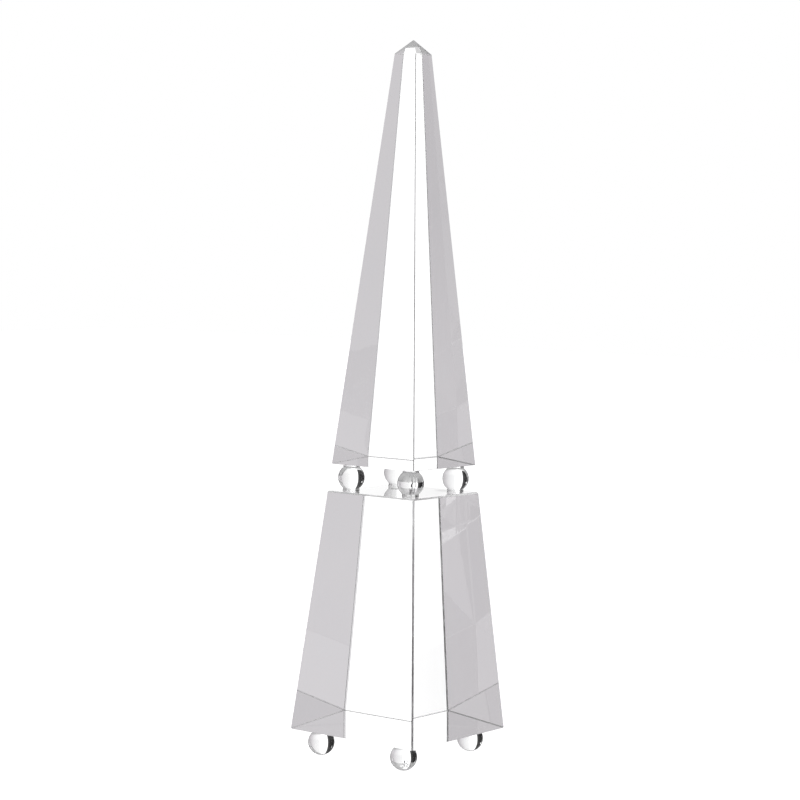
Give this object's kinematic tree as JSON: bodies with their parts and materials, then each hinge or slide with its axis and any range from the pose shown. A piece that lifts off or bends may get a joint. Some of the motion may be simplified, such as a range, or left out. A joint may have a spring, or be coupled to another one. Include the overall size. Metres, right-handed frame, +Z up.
{
  "type": "crystal obelisk",
  "caption": "Clear crystal obelisk: a tapered shaft with a low pyramid tip, carried on balls above a tapered block that stands on ball feet.",
  "frame": {"origin": "on the standing surface, under the obelisk's axis, at the centre of the underside", "axes": "+Z up along the obelisk's axis, +X and +Y square to the sides of the blocks, -Y towards the front face"},
  "size_m": [0.115, 0.115, 0.5328],
  "materials": {
    "crystal_block": "clear lead-free optical crystal, flat ground and polished",
    "crystal_ball": "clear optical crystal ball, polished",
    "clear_adhesive": "clear cured bonding adhesive, glossy"
  },
  "bodies": {
    "root": {"lower_block": "crystal_block", "upper_shaft": "crystal_block", "foot_ball_front_left": "crystal_ball", "middle_ball_front_left": "crystal_ball", "foot_bond_front_left": "clear_adhesive", "lower_bond_front_left": "clear_adhesive", "upper_bond_front_left": "clear_adhesive", "foot_ball_front_right": "crystal_ball", "middle_ball_front_right": "crystal_ball", "foot_bond_front_right": "clear_adhesive", "lower_bond_front_right": "clear_adhesive", "upper_bond_front_right": "clear_adhesive", "foot_ball_rear_right": "crystal_ball", "middle_ball_rear_right": "crystal_ball", "foot_bond_rear_right": "clear_adhesive", "lower_bond_rear_right": "clear_adhesive", "upper_bond_rear_right": "clear_adhesive", "foot_ball_rear_left": "crystal_ball", "middle_ball_rear_left": "crystal_ball", "foot_bond_rear_left": "clear_adhesive", "lower_bond_rear_left": "clear_adhesive", "upper_bond_rear_left": "clear_adhesive"}
  },
  "joints": []
}
